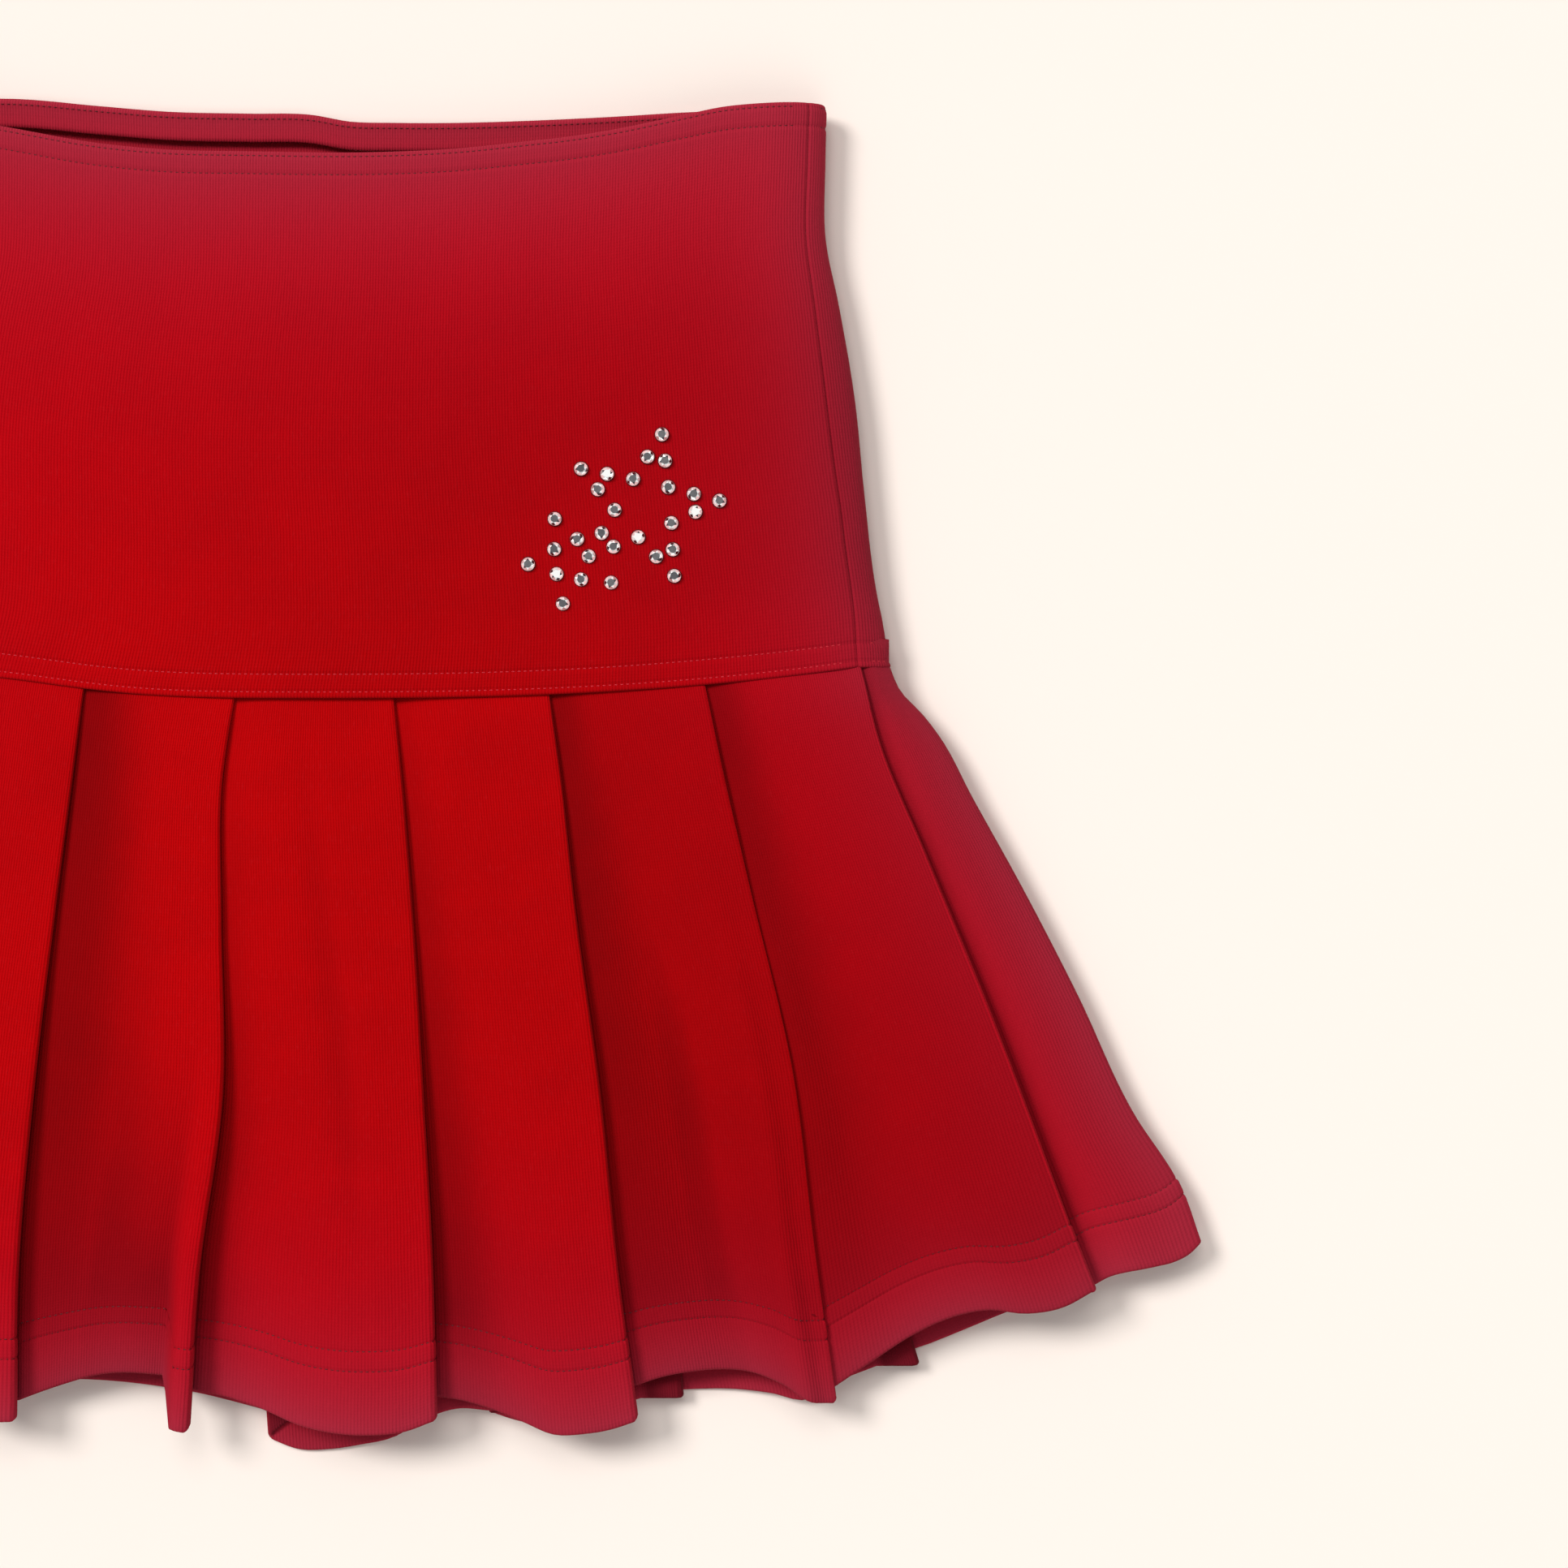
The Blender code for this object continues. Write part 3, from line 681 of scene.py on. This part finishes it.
def crystal_stones(finish):
    """Flat-backed stones, one on each stone of the imported model: a round girdle of sixteen sides, eight pairs
    of girdle facets, eight kites, eight star facets and an eight-sided table.

    The four rings are circles at rising heights; the third is turned by half of its own step.
    """
    rings = ((16, 0, 1.08, 0), (16, 0.30, 0.94, 0), (8, 0.66, 0.84, 0.5), (8, 1.0, 0.54, 0))
    k = np.arange(8)
    j = np.arange(16)
    n, pair = (k + 1) % 8, (2 * k + 2) % 16
    girdle, middle, table = 16, 32, 40
    cut = [
        *np.stack([j, (j + 1) % 16, girdle + (j + 1) % 16, girdle + j], -1).tolist(),
        *np.stack([girdle + 2 * k, girdle + 2 * k + 1, middle + k], -1).tolist(),
        *np.stack([girdle + 2 * k + 1, girdle + pair, middle + k], -1).tolist(),
        *np.stack([middle + k, girdle + pair, middle + n, table + n], -1).tolist(),
        *np.stack([middle + k, table + n, table + k], -1).tolist(),
        (table + k).tolist(), j[::-1].tolist(),
    ]
    points, faces, grey = [], [], []
    for number in range(1, STONE_COUNT + 1):
        low, high = (np.array(corner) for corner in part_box(f"rhinestone_{number:02d}"))
        centre, tall = (low + high) / 2, high[2] - low[2] + STONE_SINK
        for count, height, size, shift in rings:
            angle = 0.7 * number + (np.arange(count) + shift) * 2 * math.pi / count
            flat = np.stack([np.cos(angle), np.sin(angle)], -1) * size * STONE_RADIUS
            ring = np.column_stack([flat, np.full(count, height * tall)])
            points.append(ring + (centre[0], centre[1], low[2] - STONE_SINK))
        faces += [[corner + 48 * (number - 1) for corner in face] for face in cut]
        # Painted reflections: each facet keeps its own brightness under any lamp, a dark girdle, bright girdle
        # facets, kites and stars bright or dark, and a grey table, white on every sixth stone
        wave = np.abs(np.sin(number * 2.3 + np.arange(48) * 1.9))
        kites, stars = wave[32:40], wave[40:48]
        grey += [*(0.02 + 0.08 * wave[:16]), *(0.72 + 0.28 * wave[16:32])]
        grey += [*np.where(kites < 0.3, 0.14, 0.55 + 0.45 * kites), *np.where(stars < 0.35, 0.16, 0.5 + 0.5 * stars)]
        grey += [0.95 if number % 6 == 0 else 0.3 + 0.12 * wave[3], 0.1]
    piece = solid_mesh("crystal_stones", np.concatenate(points), faces, finish)
    piece.data.shade_flat()
    shade = piece.data.attributes.new("foil", "FLOAT", "FACE")
    shade.data.foreach_set("value", np.array(grey, np.float32))
    return piece


# Finishes


class Term:
    """One value in a shader: arithmetic on it adds Math nodes."""

    def __init__(self, finish, socket):
        self.finish, self.socket = finish, socket

    def math(self, operation, *values):
        return self.finish.node("ShaderNodeMath", {"operation": operation}, dict(enumerate(values)))

    def __add__(self, other):
        return self.math("ADD", self, other)

    __radd__ = __add__

    def __sub__(self, other):
        return self.math("SUBTRACT", self, other)

    def __rsub__(self, other):
        return self.math("SUBTRACT", other, self)

    def __mul__(self, other):
        return self.math("MULTIPLY", self, other)

    __rmul__ = __mul__

    def sine(self):
        return self.math("SINE", self)

    def size(self):
        return self.math("ABSOLUTE", self)

    def ease(self, low, high):
        """0 below low, 1 above high, smooth between."""
        settings = {"interpolation_type": "SMOOTHSTEP"}
        return self.finish.node("ShaderNodeMapRange", settings, {0: self, 1: low, 2: high})


class Finish:
    """A material and the one way in which nodes are added to it."""

    def __init__(self, name):
        self.material = bpy.data.materials.new(name)
        self.material.use_nodes = True
        self.tree = self.material.node_tree
        self.tree.nodes.clear()

    def node(self, kind, settings=None, sockets=None, out=0):
        """Adds a node of this type. Its settings are made first, then values and links of its sockets."""
        made = self.tree.nodes.new(kind)
        for key, value in (settings or {}).items():
            setattr(made, key, value)
        for key, value in (sockets or {}).items():
            if isinstance(value, Term):
                self.tree.links.new(value.socket, made.inputs[key])
            else:
                made.inputs[key].default_value = value
        return None if out is None else Term(self, made.outputs[out])

    def parts(self, vector):
        made = self.node("ShaderNodeSeparateXYZ", sockets={0: vector}).socket.node
        return [Term(self, socket) for socket in made.outputs]

    def joined(self, x, y, z=0.0):
        return self.node("ShaderNodeCombineXYZ", sockets={0: x, 1: y, 2: z})

    def mix(self, factor, a, b):
        return self.node("ShaderNodeMix", {"data_type": "RGBA"}, {0: factor, 6: a, 7: b}, out=2)

    def noise(self, vector, scale, detail=2.0, roughness=0.5):
        sockets = {"Vector": vector, "Scale": scale, "Detail": detail, "Roughness": roughness}
        return self.node("ShaderNodeTexNoise", None, sockets)

    def surface(self, values):
        shader = self.node("ShaderNodeBsdfPrincipled", None, values)
        self.node("ShaderNodeOutputMaterial", None, {0: shader}, out=None)
        return self.material


RED = (0.49, 0.0, 0.001, 1)
DEEP_RED = (0.38, 0.0, 0.001, 1)
# Tints of the painted sheen towards the borders
FAINT_SHEEN_RED = (0.42, 0.001, 0.014, 1)
PAINTED_SHEEN_RED = (0.36, 0.019, 0.04, 1)
RIB = 0.82 * MM
COURSE = 0.9 * MM


def double_knit():
    """Fine upright ribs with uneven wales and courses, mottled dye, painted shade between the
    ribs, a painted sheen towards the borders, and painted shade beside the folds, over whole panels and over the
    lower right of the yoke."""
    made = Finish("red_double_knit")
    u, v, _ = made.parts(made.node("ShaderNodeUVMap", {"uv_map": "grain"}))
    place = made.node("ShaderNodeTexCoord", out=3)
    drift = made.noise(made.joined(u * 220, v * 60), 1.0, 1.0)
    wale = ((u + drift * 0.35 * MM) * (2 * math.pi / RIB)).sine()
    course = ((v + drift * 0.3 * MM) * (2 * math.pi / COURSE)).sine()
    fibre = made.noise(made.joined(u * 1400, v * 330), 1.0, 3.0, 0.6)
    mottle = made.noise(place, 38.0, 4.0, 0.6)
    height = wale * 0.45 + course * wale.size() * 0.16 + fibre * 1.0
    bump = made.node("ShaderNodeBump", None, {"Strength": 0.75, "Distance": 0.17 * MM, "Height": height})
    painted_sheen = made.node("ShaderNodeAttribute", {"attribute_name": "painted_sheen"}, out=2)
    painted_shade = made.node("ShaderNodeAttribute", {"attribute_name": "painted_shade"}, out=2)
    # The mottle is uneven dye; the darker red where the wale is low is painted shade in the grooves between the ribs.
    tone = made.mix(mottle.ease(0.3, 0.75) * 0.4 + (0.5 - wale * 0.5) * 0.22, RED, DEEP_RED)
    # Painted sheen: a paler, dustier red towards the borders
    faint_sheen = made.mix(painted_sheen.math("POWER", painted_sheen, 0.4) * 0.85, tone, FAINT_SHEEN_RED)
    colour = made.mix(painted_sheen, faint_sheen, PAINTED_SHEEN_RED)
    lighter = made.mix(fibre.ease(0.5, 0.9) * 0.07, colour, (0.75, 0.05, 0.07, 1))
    return made.surface({
        # Painted shade: the colour darkens towards near black with the painted shade attribute
        "Base Color": made.mix(painted_shade * 0.62, lighter, (0.03, 0.0, 0.001, 1)),
        "Roughness": 0.78 + fibre * 0.15, "Specular IOR Level": 0.04,
        "Sheen Weight": 0.05, "Sheen Roughness": 0.45, "Sheen Tint": (1, 0.35, 0.4, 1), "Normal": bump,
    })


def thread_finish(name, colour, dark):
    """Twisted thread: fine slanting ply lines in shade and relief."""
    made = Finish(name)
    x, y, _ = made.parts(made.node("ShaderNodeTexCoord", out=3))
    ply = ((x + y) * (2 * math.pi / (0.4 * MM))).sine()
    bump = made.node("ShaderNodeBump", None, {"Strength": 0.4, "Distance": 0.05 * MM, "Height": ply})
    return made.surface({
        "Base Color": made.mix(ply * 0.5 + 0.5, colour, dark), "Roughness": 0.5 + ply * 0.06,
        "Specular IOR Level": 0.3, "Normal": bump,
    })


def elastic_finish():
    """Braided elastic: ribs along the band crossed by fine covering threads."""
    made = Finish("white_elastic")
    x, y, _ = made.parts(made.node("ShaderNodeTexCoord", out=3))
    cord = (y * (2 * math.pi / (1.1 * MM))).sine()
    cover = (x * (2 * math.pi / (0.5 * MM)) + cord * 1.2).sine()
    bump = made.node("ShaderNodeBump", None, {"Strength": 0.6, "Distance": 0.12 * MM, "Height": cord + cover * 0.4})
    return made.surface({
        "Base Color": made.mix(cord * 0.25 + 0.5, (0.82, 0.81, 0.78, 1), (0.66, 0.64, 0.60, 1)),
        "Roughness": 0.8 + cover * 0.05, "Normal": bump,
    })


def crystal_finish():
    """Foiled crystal with painted reflections: each facet has its own fixed brightness, the brightest glow as painted
    highlights, and a clear gloss lies over it.
    """
    made = Finish("foiled_crystal")
    foil = made.node("ShaderNodeAttribute", {"attribute_name": "foil"}, out=2)
    cloud = made.noise(made.node("ShaderNodeTexCoord", out=3), 900.0, 2.0)
    shade = made.mix((foil * 0.9 + cloud * 0.1).ease(0.15, 1.0), (0.10, 0.10, 0.12, 1), (1.0, 0.99, 0.97, 1))
    return made.surface({
        "Base Color": shade, "Metallic": 0.85, "Roughness": 0.10 + cloud * 0.10,
        "Coat Weight": 1.0, "Coat Roughness": 0.03,
        # Painted highlights: the brightest facets glow
        "Emission Color": made.mix(foil.ease(0.55, 1.0), (0, 0, 0, 1), (1, 0.98, 0.95, 1)), "Emission Strength": 0.55,
    })


def paper_floor():
    """A pale matt board with a very faint tooth."""
    made = Finish("cream_board")
    tooth = made.noise(made.node("ShaderNodeTexCoord", out=3), 400.0, 2.0)
    bump = made.node("ShaderNodeBump", None, {"Strength": 0.05, "Distance": 0.1 * MM, "Height": tooth})
    colour = made.mix(tooth * 0.1, (0.95, 0.855, 0.793, 1), (0.93, 0.836, 0.773, 1))
    return made.surface({"Base Color": colour, "Roughness": 0.9, "Specular IOR Level": 0.0, "Normal": bump})


# Stage

WARM = (1.0, 0.985, 0.96)


def sun(name, strength, soft, towards):
    """A broad soft light whose rays run along towards."""
    lamp = bpy.data.lights.new(name, "SUN")
    lamp.energy, lamp.angle, lamp.color = strength, math.radians(soft), WARM
    holder = bpy.data.objects.new(name, lamp)
    bpy.context.scene.collection.objects.link(holder)
    x, y, z = towards
    holder.rotation_euler = (math.atan2(math.hypot(x, y), -z), 0, math.atan2(-x, y))


def stage():
    scene = bpy.context.scene
    scene.view_settings.view_transform = "Standard"
    board = bpy.data.meshes.new("floor_board")
    far = 40.0
    board.from_pydata([(-far, -far, 0), (far, -far, 0), (far, far, 0), (-far, far, 0)], [], [(0, 1, 2, 3)])
    board.materials.append(paper_floor())
    floor = bpy.data.objects.new("floor_board", board)
    floor.location.z = -0.05 * MM
    scene.collection.objects.link(floor)
    world = bpy.data.worlds.new("studio_air")
    world.use_nodes = True
    air = world.node_tree.nodes["Background"]
    air.inputs[0].default_value = (0.98, 0.99, 1.0, 1)
    air.inputs[1].default_value = 0.34
    scene.world = world
    sun("key_light", 2.1, 20, (0.6, -0.4, -0.75))
    sun("top_light", 0.8, 30, (0.1, -0.6, -1.0))
    sun("hem_fill", 0.35, 40, (-0.1, 0.7, -0.9))
    eye = bpy.data.cameras.new("camera")
    eye.lens, eye.sensor_width = 85, 36
    camera = bpy.data.objects.new("camera", eye)
    field = 434.7 * MM
    camera.location = (130.3 * MM, -2.9 * MM, 2 * MIDDLE + field * eye.lens / eye.sensor_width)
    scene.collection.objects.link(camera)
    scene.camera = camera


# Making


def cut_size(top, bottom, length):
    """Flat size and area of a cut piece with straight sides, from its finished widths at the
    top and bottom and its length. A seam allowance is added at each side."""
    top, bottom = top + 2 * SEAM_ALLOWANCE, bottom + 2 * SEAM_ALLOWANCE
    return {"flat": (max(top, bottom), length), "area": (top + bottom) / 2 * length}


def cut_sizes():
    """The yoke's cut, half of the way round the skirt, and the flounce's, which adds two layers for each pleat."""
    waist, seam = (2 * (SIDE_OF_YOKE[end][1] * MM - CORNER + SIDE_LENGTH) for end in (0, -1))
    yoke = cut_size(waist, seam, YOKE_LENGTH + CASING_DEPTH + math.pi * CASING_FOLD + YOKE_TUCK)
    pleats = len(FRONT_FOLDS)
    top, hem = (2 * SIDE_OF_FLOUNCE[end][1] * MM + 2 * pleats * PLEAT_DEPTH[end] * MM for end in (0, -1))
    return yoke, cut_size(top, hem, FLOUNCE_LENGTH + HEM_TURN + SEAM_ALLOWANCE)


def make():
    knit = double_knit()
    # One red thread in two copies: lighter as a painted highlight on the yoke rows, dark as painted shade on the
    # waist and hem rows
    lit_thread = thread_finish("red_thread", (0.62, 0.03, 0.05, 1), (0.45, 0.0, 0.01, 1))
    shaded_thread = thread_finish("red_thread_painted_shade", (0.13, 0.0, 0.006, 1), (0.07, 0.0, 0.003, 1))
    yokes = {half.name: yoke_cloth(half, knit) for half in (FRONT, BACK)}
    flounces = {half.name: flounce_cloth(half, knit) for half in (FRONT, BACK)}
    rows = {"front": [], "back": []}
    for half in (FRONT, BACK):
        for row, down in zip(("upper", "lower"), WAIST_ROWS):
            rows[half.name].append(yoke_stitches(f"waist_stitches_{row}_{half.name}", half, down, shaded_thread))
        for row, up in zip(("lower", "upper"), YOKE_ROWS):
            name = f"yoke_stitches_{row}_{half.name}"
            rows[half.name].append(yoke_stitches(name, half, YOKE_LENGTH - up, lit_thread))
    inside = yoke_stitches("waist_stitches_inside_back", BACK, WAIST_ROWS[0] + 0.4 * MM, shaded_thread, 2 * CASING_FOLD, True)
    rows["back"].append(inside)
    hems = {
        half.name: [
            hem_stitches(f"hem_stitches_{row}_{half.name}", half, up, shaded_thread)
            for row, up in zip(("lower", "upper"), HEM_ROWS)
        ]
        for half in (FRONT, BACK)
    }
    band = elastic_band(elastic_finish())
    stones = crystal_stones(crystal_finish())
    for name in ("front", "back"):
        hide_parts(f"yoke_{name}")
        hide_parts(f"flounce_{name}")
    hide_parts("waist_elastic")
    threads = ("waist_stitch_upper", "waist_stitch_lower", "yoke_stitch_lower", "yoke_stitch_upper")
    for row, node in zip(rows["front"], threads):
        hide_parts(node)
    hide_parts(*[f"rhinestone_{n:02d}" for n in range(1, STONE_COUNT + 1)])
    yoke_cut, flounce_cut = cut_sizes()


stage()
make()
